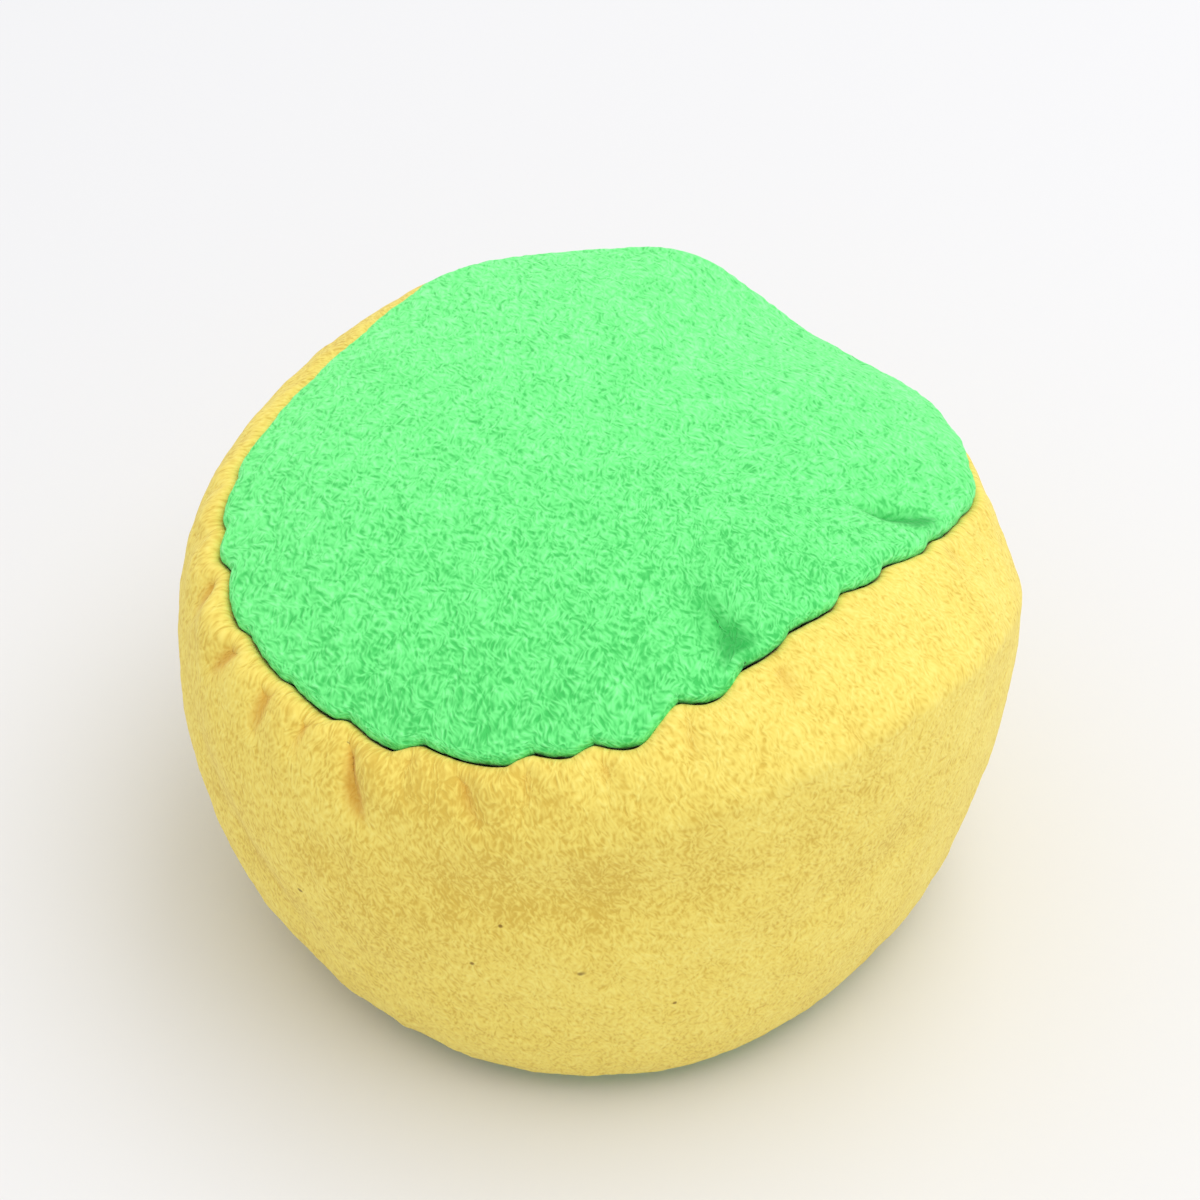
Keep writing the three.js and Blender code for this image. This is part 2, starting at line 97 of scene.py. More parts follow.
roll = math.radians(bag["roll"])
cosRoll, sinRoll = math.cos(roll), math.sin(roll)
layerOffset = (bag["fabric"] + bag["layerGap"]) / 2  # seam plane to the middle of a layer


def smooth(x):
    x = np.clip(x, 0, 1)
    return x * x * (3 - 2 * x)


def turnFrom(angle, degrees):
    # signed angle from a direction, half a turn either way
    return (angle - math.radians(degrees) + math.pi) % fullTurn - math.pi


def waved(name, angle, reach=1.0, pushes=True):
    # a size plus its waves and bell-shaped pushes, damped towards the middle of a panel, where reach is 0
    total = bag[name] + 0 * angle
    for count, crest, size in bagWaves.get(name, []):
        total = total + size * reach**count * np.cos(count * (angle - math.radians(crest)))
    for place, width, size in bagPushes.get(name, []) if pushes else []:
        fall = (1 - np.cos(angle - math.radians(place))) / (1 - math.cos(math.radians(width)))
        total = total + size * reach ** bag["pushFade"] * np.exp(-fall)
    return total


# The seam line strays outward from stitch to stitch and steps back in at some: angle and size of each step.
# A step outwards lies lower, and dies away towards the middle of the panel
seamSteps = dict(
    front=[
        (191, 0.75), (204, 0.3), (216, 0.15), (229, 0.35), (243, 0.7), (261, 0.55), (270, 0.35), (283, 1.25),
        (294, 0.55), (304, 0.2), (317, 0.45), (328, 0.35), (341, 0.4), (352, 0.1),
    ],
    pitch=12, spread=(0.8, 1.2), size=(0.1, 0.4), fall=2.35, longestFall=0.6, lower=0.7, fade=8, seed=11,
)


def stepMarks(s):
    # those seen from the front, then the rest of the way round at an uneven pitch
    rng = np.random.default_rng(s["seed"])
    marks = list(s["front"])
    place = marks[-1][0] + s["pitch"]
    while place < marks[0][0] + 360 - s["pitch"] / 2:
        marks.append((place, rng.uniform(*s["size"])))
        place = place + s["pitch"] * rng.uniform(*s["spread"])
    places, sizes = np.array(marks).T
    return np.radians(places), sizes


stepPlaces, stepSizes = stepMarks(seamSteps)
nextSizes = np.roll(stepSizes, -1)
stepEnds = np.append(stepPlaces - stepPlaces[0], fullTurn)


def stepCell(angle):
    # which pair of steps an angle lies between, and its share of the way from one to the other
    turn = (angle - stepPlaces[0]) % fullTurn
    cell = np.clip(np.searchsorted(stepEnds, turn, side="right") - 1, 0, len(stepSizes) - 1)
    return cell, (turn - stepEnds[cell]) / (stepEnds[cell + 1] - stepEnds[cell])


def stray(angle):
    # a sawtooth: from half a step inside the line to half the next step outside it, then a fall back that
    # takes longer the larger it is
    cell, share = stepCell(angle)
    first, last = -stepSizes[cell] / 2, nextSizes[cell] / 2
    fall = seamSteps["fall"] * np.sqrt(2 * last) / (np.diff(stepEnds)[cell] * bag["topRadius"])
    fall = np.minimum(fall, seamSteps["longestFall"])
    value = first + (last - first) * np.sin(rightAngle * np.clip(share / (1 - fall), 0, 1))
    return value + (-last - value) * smooth((share - 1 + fall) / fall)


def topSeam(angle, reach=1.0, strays=True):
    # radius, height, which way is outwards from the bag's middle and radius of the lip
    aside = stray(angle) * reach ** seamSteps["fade"] if strays else 0
    height = waved("topHeight", angle, reach) - seamSteps["lower"] * aside
    return waved("topRadius", angle) + aside, height, 1, waved("lip", angle)


def hemSeam(angle):
    # the same four for the bottom seam, which has no steps
    return waved("hemRadius", angle), bag["hemHeight"] + 0 * angle, -1, bag["hemLip"] + 0 * angle


def seamPoint(seam, depth, side):
    # depth goes into the bag along the turned layers, side towards the end panel
    r, z, up = seam[:3]
    return r - depth * cosRoll - side * sinRoll, z + up * (side * cosRoll - depth * sinRoll)


def around(angle, r, z):
    return np.stack([r * np.cos(angle), r * np.sin(angle), z + 0 * r], -1)


def panelLip(seam, first, share):
    # an arc about a centre over the seam, from the panel's slope to the turned layer
    lip = seam[3]
    r, z = seamPoint(seam, 0, layerOffset + lip)
    turn = first + (roll - rightAngle - first) * share
    return r + lip * np.cos(turn), z + seam[2] * lip * np.sin(turn)


def panelSurface(angle, share, stops, seam, first, inside):
    # an end panel: what lies inside its seam, then the lip's arc, then straight along the turned layer
    lip = panelLip(seam, first, np.clip((share - stops[0]) / (stops[1] - stops[0]), 0, 1))
    depth = bag["allowance"] * np.clip((share - stops[1]) / (1 - stops[1]), 0, 1)
    turned = seamPoint(seam, depth, layerOffset)
    parts = zip(inside, lip, turned)
    r, z = (np.where(share < stops[0], a, np.where(share < stops[1], b, c)) for a, b, c in parts)
    return around(angle, r, z)


def topSurface(angle, share, stops):
    # crown: the seam's height plus a power of the way out that ends on the lip
    reach = np.clip(share / stops[0], 0, 1)
    seam, along = topSeam(angle), topSeam(angle, reach)
    lipRise = (layerOffset + seam[3]) * cosRoll + seam[3]
    first = rightAngle - np.arctan(bag["crownPower"] * (bag["crown"] - lipRise) / bag["topRadius"])
    edgeR, edgeZ = panelLip(seam, first, 0)
    rise = bag["crown"] + (edgeZ - seam[1] - bag["crown"]) * reach ** bag["crownPower"]
    crown = (edgeR - seam[0] + along[0]) * reach, along[1] + rise
    return panelSurface(angle, share, stops, seam, first, crown)


def bottomSurface(angle, share, stops):
    # flat where it rests, then a rise to the lip
    seam = hemSeam(angle)
    edgeR, edgeZ = panelLip(seam, rightAngle, 0)
    flat = bag["fabric"] / 2
    part = np.clip(share / stops[0], 0, 1) * edgeR
    rise = np.clip((part - bag["rest"]) / (edgeR - bag["rest"]), 0, 1) ** 2
    return panelSurface(angle, share, stops, seam, rightAngle, (part, flat + (edgeZ - flat) * rise))


def cubic(points, share):
    # a curve from its first point to its fourth, leaving towards the second and arriving from the third
    rest = 1 - share
    weights = rest**3, 3 * rest**2 * share, 3 * rest * share**2, share**3
    return tuple(sum(w * p[k] for w, p in zip(weights, points)) for k in (0, 1))


def bandSurface(angle, rows):
    # up from the hem's cut edge: turned layer, wall to its widest place, shoulder to the top seam and the
    # turned layer there
    angle = angle[:, None]
    above, below = topSeam(angle), hemSeam(angle)
    span = {name: np.linspace(0, 1, count + 1)[None, :] for name, count in rows.items()}
    drop = waved("drop", angle)
    wideR = waved("topRadius", angle, pushes=False) + waved("inset", angle)
    wideZ = waved("topHeight", angle, pushes=False) - drop
    headR, headZ = seamPoint(above, 0, -layerOffset)
    footR, footZ = seamPoint(below, 0, -layerOffset)
    pull, hemPull = waved("shoulderPull", angle), bag["hemPull"]
    wall = (
        (footR, footZ), (footR + hemPull * cosRoll, footZ - hemPull * sinRoll),
        (wideR, wideZ - bag["wallFull"] * (wideZ - footZ)), (wideR, wideZ),
    )
    shoulder = (
        (wideR, wideZ), (wideR, wideZ + waved("shoulderFull", angle) * drop),
        (headR + pull * cosRoll, headZ + pull * sinRoll), (headR, headZ),
    )
    stretches = [
        seamPoint(below, bag["allowance"] * (1 - span["hem"]), -layerOffset),
        cubic(wall, span["wall"]),
        cubic(shoulder, span["shoulder"]),
        seamPoint(above, bag["allowance"] * span["top"], -layerOffset),
    ]
    r, z = (np.concatenate([s[k][:, (i > 0):] for i, s in enumerate(stretches)], 1) for k in (0, 1))
    return around(angle, r, z)


print("form: top seam", bag["topHeight"], "mm up,", len(stepSizes), "steps in its line")


def lattice(x, y, cell, seed):
    # smooth noise from -1 to 1: random values on a square lattice of that cell, eased between its corners
    count = 256  # cells until it repeats
    values = np.random.default_rng(seed).uniform(-1, 1, (count, count))
    x, y = x / cell, y / cell
    i, j = np.floor(x).astype(int), np.floor(y).astype(int)
    u, v = smooth(x - i), smooth(y - j)
    left, right, near, far = i % count, (i + 1) % count, j % count, (j + 1) % count
    low = values[left, near] * (1 - u) + values[right, near] * u
    high = values[left, far] * (1 - u) + values[right, far] * u
    return low * (1 - v) + high * v


def normalsOf(points):
    # across both directions of a grid, by its central differences
    normal = np.cross(np.gradient(points, axis=0), np.gradient(points, axis=1))
    return normal / np.maximum(np.linalg.norm(normal, axis=-1, keepdims=True), 1e-12)


def discGrid(count):
    # a square grid bent into a disc: each ring of the square becomes a circle
    line = np.linspace(-1, 1, count)
    x, y = np.meshgrid(line, line, indexing="ij")
    wide = np.abs(x) >= np.abs(y)
    main, other = np.where(wide, x, y), np.where(wide, y, x)
    ratio = np.divide(other, main, out=np.zeros_like(x), where=main != 0)
    eighth = math.pi / 4
    angle = np.where(wide, ratio * eighth, rightAngle - ratio * eighth) + np.where(main < 0, math.pi, 0)
    return angle, np.abs(main)


def edgeLoop(rows, columns):
    # indices round the border of a grid
    at = np.arange(rows * columns).reshape(rows, columns)
    return np.concatenate([at[:-1, 0], at[-1, :-1], at[:0:-1, -1], at[0, :0:-1]])


def meshPiece(name, points, faces):
    # faces is a list of arrays, one for each number of corners
    mesh = bpy.data.meshes.new(name)
    corners = np.concatenate([f.ravel() for f in faces]).astype(np.int32)
    sizes = np.concatenate([np.full(len(f), f.shape[1]) for f in faces]).astype(np.int32)
    mesh.vertices.add(len(points))
    mesh.vertices.foreach_set("co", (points * mm).astype(np.float32).ravel())
    mesh.loops.add(len(corners))
    mesh.loops.foreach_set("vertex_index", corners)
    mesh.polygons.add(len(sizes))
    mesh.polygons.foreach_set("loop_start", np.concatenate([[0], np.cumsum(sizes)[:-1]]).astype(np.int32))
    mesh.polygons.foreach_set("use_smooth", np.ones(len(sizes), bool))
    mesh.update(calc_edges=True)
    mesh.validate()
    piece = bpy.data.objects.new(name, mesh)
    scene.collection.objects.link(piece)
    print("piece:", name, len(points), "points", int((sizes - 2).sum()), "triangles")
    return piece


def putMap(piece, name, values):
    corners = np.empty(len(piece.data.loops), np.int32)
    piece.data.loops.foreach_get("vertex_index", corners)
    piece.data.uv_layers.new(name=name).uv.foreach_set("vector", values[corners].astype(np.float32).ravel())


cloth = dict(step=4, bakeOuter=0.88, bakeInner=0.9)  # where in the baked picture the two faces end and begin


def clothPiece(name, mid, nap, flat, fields):
    # closed cloth: the outer face is the mid surface moved out by half the fabric and the nap, the inner face
    # takes every step-th point moved in, and a strip of faces round the edge joins the two
    step, normal = cloth["step"], normalsOf(mid)
    half = bag["fabric"] / 2
    outer, inner = mid + normal * (half + nap[..., None]), (mid - normal * half)[::step, ::step]
    rows, columns, fewRows, fewColumns = *outer.shape[:2], *inner.shape[:2]
    faces, first = [], 0
    for m, n, turned in ((rows, columns, False), (fewRows, fewColumns, True)):
        at = np.arange(m * n).reshape(m, n) + first
        quad = np.stack([at[:-1, :-1], at[1:, :-1], at[1:, 1:], at[:-1, 1:]], -1).reshape(-1, 4)
        faces.append(quad[:, ::-1] if turned else quad)
        first += m * n
    many, few = edgeLoop(rows, columns), edgeLoop(fewRows, fewColumns) + rows * columns
    spans = np.arange(len(few))
    strip = [many[(spans * step + k) % len(many)] for k in range(step, -1, -1)] + [few, np.roll(few, -1)]
    faces.append(np.stack(strip, -1))

    def both(grid):
        coarse = grid[::step, ::step]
        return np.concatenate([grid.reshape(rows * columns, -1), coarse.reshape(fewRows * fewColumns, -1)])

    piece = meshPiece(name, np.concatenate([outer.reshape(-1, 3), inner.reshape(-1, 3)]), faces)
    putMap(piece, "cloth", both(flat))
    u, v = np.meshgrid(np.linspace(0, 1, rows), np.linspace(0, 1, columns), indexing="ij")
    square = both(np.stack([u, v], -1))
    outside = np.arange(len(square)) < rows * columns
    outerV, innerV = square[:, 1] * cloth["bakeOuter"], 1 - (1 - square[:, 1]) * (1 - cloth["bakeInner"])
    putMap(piece, "OFBake", np.stack([square[:, 0], np.where(outside, outerV, innerV)], -1))
    for field, values in fields.items():
        made = piece.data.attributes.new(field, "FLOAT", "POINT")
        made.data.foreach_set("value", both(values)[:, 0].astype(np.float32))
    return piece


foldForm = dict(spread=0.6, swellPower=0.7)


def folds(angle, distance, radius, places):
    # valleys and ridges from the seam, wider at their far end: angle, height, half width, length and sideways
    # lean of each
    total = 0 * distance
    for place, height, width, length, lean in places:
        aside = turnFrom(angle, place) * radius - lean * distance
        spread = width * (1 + foldForm["spread"] * distance / length)
        total = total + height * np.exp(-((aside / spread) ** 2) - (distance / length) ** 2)
    return total


def tucks(angle, distance, depth, width, length):
    # the cloth is drawn in at each step of the seam line
    cell, share = stepCell(angle)
    before = share * (stepEnds[cell + 1] - stepEnds[cell]) * bag["topRadius"]
    after = (1 - share) * (stepEnds[cell + 1] - stepEnds[cell]) * bag["topRadius"]
    sizes = stepSizes[cell], nextSizes[cell]
    pull = sum(s * np.exp(-((a / width) ** 2)) for s, a in zip(sizes, (before, after)))
    return -depth * pull * np.exp(-((distance / length) ** 2))


def swelling(angle, distance, size, reach):
    # the cloth swells between two steps of the seam line, and less away from it
    share = np.clip(stepCell(angle)[1], 0, 1)
    return size * np.sin(math.pi * share) ** foldForm["swellPower"] * np.exp(-((distance / reach) ** 2))


# Puckers: a coarse copy of the cloth that has more length along its seams than the seams leave room for is
# held there and blown against the fill
settling = dict(
    unit=0.05, frames=10, quality=4, mass=0.3, stiffness=15, shear=5, bending=8, pressure=5, damping=6,
    pin=50, slow=11, cap=0.6, seedCell=1.5, seedFrom=0.6,
)
patchy = dict(power=12, circle=20, noiseFrom=100, cell=7, few=0.3, more=0.9)


def uneven(angle, least, crest, seed):
    # share of the surplus left at an angle: most near the crest, and patchy
    main = (0.5 + 0.5 * np.cos(angle - math.radians(crest))) ** patchy["power"]
    x, y = (turn * patchy["circle"] + patchy["noiseFrom"] for turn in (np.cos(angle), np.sin(angle)))
    patches = 0.5 + 0.5 * lattice(x, y, patchy["cell"], seed)
    return least + (1 - least) * main * (patchy["few"] + patchy["more"] * patches)


def ringFaces(columns, rows):
    # quads of a grid that closes on itself in its first direction
    at = np.arange(columns * rows).reshape(columns, rows)
    beside = np.roll(at, -1, 0)
    return np.stack([at[:, :-1], beside[:, :-1], beside[:, 1:], at[:, 1:]], -1).reshape(-1, 4)


def settle(points, surplus, s):
    # points go round and then along; surplus is the share of extra length at each point
    columns, rows = points.shape[:2]
    mesh = bpy.data.meshes.new("settling")
    mesh.from_pydata((points * s["unit"]).reshape(-1, 3), [], ringFaces(columns, rows).tolist())
    piece = bpy.data.objects.new("settling", mesh)
    scene.collection.objects.link(piece)
    held = np.zeros((columns, rows), bool)
    held[:, (0, -1)] = True
    piece.vertex_groups.new(name="held").add(np.flatnonzero(held).tolist(), 1.0, "REPLACE")
    taut = piece.vertex_groups.new(name="taut")
    for k, share in enumerate((1 - surplus / surplus.max()).ravel().tolist()):
        taut.add([k], share, "REPLACE")
    modifier = piece.modifiers.new("cloth", "CLOTH")
    settings = modifier.settings
    settings.quality, settings.mass = s["quality"], s["mass"]
    settings.tension_stiffness = settings.compression_stiffness = s["stiffness"]
    settings.shear_stiffness, settings.bending_stiffness = s["shear"], s["bending"]
    settings.tension_damping = settings.compression_damping = s["damping"]
    settings.vertex_group_mass, settings.pin_stiffness = "held", s["pin"]
    settings.vertex_group_shrink = "taut"
    settings.shrink_min, settings.shrink_max = -float(surplus.max()), 0  # below 0 it grows
    settings.use_pressure, settings.uniform_pressure_force = True, s["pressure"]
    settings.effector_weights.gravity = 0
    modifier.collision_settings.use_collision = False
    modifier.point_cache.frame_start, modifier.point_cache.frame_end = 1, s["frames"]
    for step in range(1, s["frames"] + 1):
        scene.frame_set(step)
    made = piece.evaluated_get(bpy.context.evaluated_depsgraph_get()).to_mesh()
    settled = np.empty(len(made.vertices) * 3, np.float32)
    made.vertices.foreach_get("co", settled)
    bpy.data.objects.remove(piece)
    scene.frame_set(1)
    moved = settled.reshape(points.shape) / s["unit"] - points
    return (moved * normalsOf(points)).sum(-1)


def puckers(points, surplus, s):
    # what the settled cloth moved outwards, less the slow part of it round the bag
    moved = settle(points, surplus, s)
    waves = np.fft.rfft(moved, axis=0)
    count = np.arange(len(waves))
    quick = np.fft.irfft(waves * (1 - np.exp(-((count / s["slow"]) ** 2)))[:, None], len(moved), axis=0)
    print("settled:", points.shape[:2], "puckers up to", np.abs(quick).max().round(2), "mm")
    return s["cap"] * np.tanh(quick / s["cap"])


def sampled(values, u, v):
    # between the points of a grid: u columns round and v rows along
    i, j = np.floor(u).astype(int), np.clip(np.floor(v).astype(int), 0, values.shape[1] - 2)
    a, b = u - i, np.clip(v - j, 0, 1)
    i, k = i % len(values), (i + 1) % len(values)
    near, far = (values[n, j] * (1 - b) + values[n, j + 1] * b for n in (i, k))
    return near * (1 - a) + far * a


topPanel = dict(
    count=297, stops=(0.86, 0.93), flatRadius=29, seed=3, noiseFrom=100, nap=0.05, napCell=0.45,
    lumps=0.16, lumpCell=6, lumpFrom=4, hold=3.6, shadeHold=0.9, shadeFrom=0.1, paintedShadeFrom=20, paintedShadeOver=50,
    swell=dict(size=0.03, reach=2.2),
    tuck=dict(depth=0.07, width=0.5, length=1.2),
    settle=dict(
        columns=300, rings=36, inner=0.4, surplus=0.025, depth=5, seed=0.1,
        uneven=dict(least=0.2, crest=240, seed=5),
    ),
    folds=[
        (295, -1.2, 1.7, 9, -0.15), (289, 0.35, 1.6, 5, 0), (343, -1.2, 1.5, 6.5, -0.15),
        (335, 0.3, 1.3, 4, 0), (283, -0.15, 1.2, 3, 0), (222, -0.15, 0.5, 2.2, 0.1),
        (243, -0.15, 0.6, 2.2, 0), (191, -0.2, 0.6, 2, 0), (317, -0.15, 0.6, 2, 0),
    ],
)


def topPuckers(p, angle, share):
    # settles the crown's outer part as rings, from its lip inwards so that its faces look up
    c = p["settle"]
    turn = np.arange(c["columns"])[:, None] * fullTurn / c["columns"]
    reach = np.linspace(1, c["inner"], c["rings"] + 1)[None, :]
    points = topSurface(turn + 0 * reach, reach * p["stops"][0] + 0 * turn, p["stops"])
    distance = (1 - reach) * bag["topRadius"] + 0 * turn
    seeds = tucks(turn + 0 * reach, distance, **p["tuck"])
    seeds = seeds + folds(turn, distance, bag["topRadius"], p["folds"])
    x, y = np.moveaxis(points[..., :2] + p["noiseFrom"], -1, 0)
    seeds = seeds + c["seed"] * lattice(x, y, settling["seedCell"], p["seed"])
    seeds = seeds * np.minimum(distance / settling["seedFrom"], 1)
    points = points + normalsOf(points) * seeds[..., None]
    surplus = c["surplus"] * uneven(turn, **c["uneven"]) * np.exp(-((distance / c["depth"]) ** 2))
    moved = puckers(points, surplus, settling)
    row = (1 - share / p["stops"][0]) / (1 - c["inner"]) * c["rings"]
    return sampled(moved, angle / fullTurn * c["columns"], row) * (row > 0)


def makeTopPanel(p):
    angle, share = discGrid(p["count"])
    mid = topSurface(angle, share, p["stops"])
    fold = waved("topRadius", angle) + stray(angle)
    distance = np.maximum(fold - np.hypot(mid[..., 0], mid[..., 1]), 0) * (share < p["stops"][1])
    outside = np.clip((1 - share) / (1 - p["stops"][1]), 0, 1)  # 0 at the cut edge
    flat = np.stack([np.cos(angle), np.sin(angle)], -1) * (share * p["flatRadius"])[..., None]
    x, y = np.moveaxis(flat + p["noiseFrom"], -1, 0)
    lumps = p["lumps"] * lattice(x, y, p["lumpCell"], p["seed"]) * np.clip(distance / p["lumpFrom"], 0, 1)
    shift = swelling(angle, distance, **p["swell"]) + tucks(angle, distance, **p["tuck"])
    shift = shift + folds(angle, distance, bag["topRadius"], p["folds"])
    shift = shift + topPuckers(p, angle, share)
    shift = shift * outside
    creaseShade = np.maximum(-shift * smooth(distance / p["shadeHold"]) - p["shadeFrom"], 0)  # painted shade in the valleys, which runs on to the seam
    shift = shift * smooth(distance / p["hold"])
    mid = mid + normalsOf(mid) * (shift + lumps)[..., None]
    nap = p["nap"] * lattice(x, y, p["napCell"], p["seed"] + 1)
    inside = np.clip((share - p["stops"][0]) / (1 - p["stops"][0]), 0, 1)
    # painted shade, darker towards the front of the crown
    paintedShade = smooth((p["paintedShadeFrom"] - flat[..., 1]) / p["paintedShadeOver"])
    fields = dict(hidden=inside, creaseShade=creaseShade, paintedShade=paintedShade)
    return clothPiece("topPanelCloth", mid, nap, flat, fields)


band = dict(
    columns=672, rows=dict(hem=6, wall=74, shoulder=46, top=6), flatRadius=27, endColumns=8, endLip=0.3,
    seed=8, noiseFrom=(20, 50), nap=0.03, napCell=0.6, lumps=0.13, lumpCell=5, lumpFrom=5, hold=1,
    paintedShadeFrom=330, paintedShade=0.15,
    swell=dict(size=0.04, reach=2.4),
    tuck=dict(depth=0.12, width=0.6, length=1.4),
    settle=dict(columns=336, surplus=0.085, depth=6, seed=0.12, uneven=dict(least=0.12, crest=219, seed=6)),
    folds=[
        (223, -0.5, 0.6, 3, 0), (231.5, -0.65, 0.65, 5.5, 0.45), (191, -0.5, 0.7, 2.6, 0.3),
        (205, -0.5, 0.7, 3.6, -0.2), (260, -0.08, 0.6, 2.5, 0), (272, -0.2, 0.35, 1.6, 0),
        (299, -0.4, 0.9, 3.6, 0.1), (214, -0.5, 0.7, 4, 0.1), (251, -0.15, 0.6, 3, 0.2),
        (284, -0.15, 0.5, 2.4, 0), (312, -0.12, 0.7, 3, 0), (330, -0.15, 0.6, 2.4, 0.2),
        (237, 0.2, 0.8, 3.5, 0.2), (221, 0.2, 0.8, 3, 0), (198, 0.18, 0.9, 3, 0), (342, -0.2, 0.6, 2.4, 0),
    ],
    dents=[
        (212, 15, 9, 2.2, 0.9, -0.6), (266, 22, 11, 3, -0.1, -0.6), (300, 17, 9, 2.5, -0.3, -0.3),
        (250, 11, 9, 3, 0.2, -0.2),
    ],
    # painted shade on the wall, in the same columns as the dents; a size below 0 paints light instead
    shades=[
        (259, 21, 11, 3.5, -0.1, 1), (240, 16, 7, 5, 0.3, 0.6), (213, 15, 9, 2.5, 0.9, 0.7),
        (246, 28, 9, 2, 0, 0.9), (306, 19, 8, 2, -0.3, 0.5), (268, 27, 22, 6, 0.1, 0.6),
        (335, 24, 12, 5, 0.2, -0.3),
    ],
)


def softPlaces(angle, height, radius, places):
    # oval bells on the wall: angle, height, half length, half width, slope and size of each
    total = 0 * height
    for place, level, length, width, slope, size in places:
        along, up = turnFrom(angle, place) * radius, height - level
        turn = math.atan(slope)
        main = along * math.cos(turn) - up * math.sin(turn)
        across = along * math.sin(turn) + up * math.cos(turn)
        total = total + size * np.exp(-((main / length) ** 2) - (across / width) ** 2)
    return total


def turnedEnds(mid, slack, columns, lip):
    # at each end the cloth bends into the bag over a quarter circle, then goes straight on; slack is 0 where
    # the round seams hold it
    normal = normalsOf(mid)
    share = np.linspace(0, 1, columns + 1)[1:, None]
    turn = np.clip(share * 3, 0, 1) * rightAngle  # the first third of the columns
    straight = np.clip(share * 1.5 - 0.5, 0, 1)  # the other two
    sideways, inward = lip * np.sin(turn), lip * (1 - np.cos(turn))
    depth = (inward + bag["allowance"] * straight) * slack
    ends = []
    for corner, before in ((0, 1), (-1, -2)):
        out = mid[corner] - mid[before]
        out = out / np.linalg.norm(out, axis=-1, keepdims=True)
        ends.append(mid[corner] + out * sideways[..., None] - normal[corner] * depth[..., None])
    return np.concatenate([ends[0][::-1], mid, ends[1]])


def bandPuckers(p, angle):
    # settles the strip between its two seams, at half the fine rows, and reads it at the fine ones
    c = p["settle"]
    rows = {name: count // 2 for name, count in p["rows"].items()}
    turn = np.arange(c["columns"]) * fullTurn / c["columns"]
    points = bandSurface(turn, rows)[:, rows["hem"]:-rows["top"]]
    along = np.cumsum(np.linalg.norm(np.diff(points, axis=1, prepend=points[:, :1]), axis=-1), 1)
    distance = along[:, -1:] - along
    wide = turn[:, None] + 0 * distance
    seeds = tucks(wide, distance, **p["tuck"]) + folds(wide, distance, bag["topRadius"], p["folds"])
    x, y = wide * p["flatRadius"] + p["noiseFrom"][0], along + p["noiseFrom"][1]
    seeds = seeds + c["seed"] * lattice(x, y, settling["seedCell"], p["seed"])
    seeds = seeds * np.minimum(np.minimum(distance, along) / settling["seedFrom"], 1)
    points = points + normalsOf(points) * seeds[..., None]
    near = np.exp(-((distance / c["depth"]) ** 2)) + np.exp(-((along / c["depth"]) ** 2))
    moved = puckers(points, c["surplus"] * uneven(wide, **c["uneven"]) * near, settling)
    row = (np.arange(sum(p["rows"].values()) + 1) - p["rows"]["hem"]) / 2
    inside = (row > 0) & (row < moved.shape[1] - 1)
    return sampled(moved, angle[:, None] / fullTurn * c["columns"], row[None, :]) * inside


def makeBand(p):
    lip = p["endLip"]
    slit = (layerOffset + lip) / p["flatRadius"]
    angle = rightAngle + np.linspace(slit, fullTurn - slit, p["columns"] + 1)
    mid = bandSurface(angle, p["rows"])
    topRow, hemRow = mid.shape[1] - 1 - p["rows"]["top"], p["rows"]["hem"]
    along = np.cumsum(np.linalg.norm(np.diff(mid, axis=1, prepend=mid[:, :1]), axis=-1), 1)
    rows = np.arange(mid.shape[1])
    ends = p["endColumns"]
    clear = np.minimum(along[0] - along[0, hemRow], along[0, topRow] - along[0])
    mid = turnedEnds(mid, smooth(clear / bag["allowance"]), ends, lip)
    angle, along = np.pad(angle, ends, mode="edge"), np.pad(along, ((ends, ends), (0, 0)), mode="edge")
    past = np.pad(np.zeros(p["columns"] + 1), ends, mode="linear_ramp", end_values=bag["allowance"] + lip)
    distance = np.abs(along - along[:, topRow:topRow + 1])
    wide = angle[:, None] + 0 * distance
    beyond = past * np.where(np.arange(len(past)) < ends, -1, 1)
    flat = np.stack([(wide - rightAngle) * p["flatRadius"] + beyond[:, None], along], -1)
    shortest, longest = along[:, -1].min().round(1), along[:, -1].max().round(1)
    print("band cut:", np.ptp(flat[..., 0]).round(1), "by", shortest, "to", longest, "mm")
    x, y = np.moveaxis(flat + p["noiseFrom"], -1, 0)
    lumps = p["lumps"] * lattice(x, y, p["lumpCell"], p["seed"]) * np.clip(distance / p["lumpFrom"], 0, 1)
    shift = swelling(wide, distance, **p["swell"]) + tucks(wide, distance, **p["tuck"])
    shift = shift + folds(wide, distance, bag["topRadius"], p["folds"])
    shift = shift + bandPuckers(p, angle)
    shift = shift * (rows <= topRow) * smooth(distance / p["hold"])
    hollow = softPlaces(wide, mid[..., 2], p["flatRadius"], p["dents"])
    mid = mid + normalsOf(mid) * ((shift + hollow + lumps) * (past == 0)[:, None])[..., None]
    nap = p["nap"] * lattice(x, y, p["napCell"], p["seed"] + 1)
    inside = np.clip((rows - topRow) / p["rows"]["top"], 0, 1) + np.clip(1 - rows / p["rows"]["hem"], 0, 1)
    hidden = np.maximum(inside[None, :] + 0 * distance, (past / bag["allowance"])[:, None])
    # painted shade, darkest half a turn round from its lightest side, with the listed places of painted shade
    # and painted light added
    paintedShade = p["paintedShade"] - p["paintedShade"] * np.cos(wide - math.radians(p["paintedShadeFrom"]))
    paintedShade = paintedShade + softPlaces(wide, mid[..., 2], p["flatRadius"], p["shades"])
    # painted shade: in the valleys of puckers and folds, in the turned-in layers and over broad parts of the
    # wall
    fields = dict(hidden=hidden, creaseShade=np.maximum(-shift, 0), paintedShade=paintedShade)
    return clothPiece("sideBandCloth", mid, nap, flat, fields)


bottomPanel = dict(
    count=161, stops=(0.82, 0.88), flatRadius=28, nap=0.04, napCell=0.5, noiseFrom=100, seed=16, paintedShade=0.5,
)


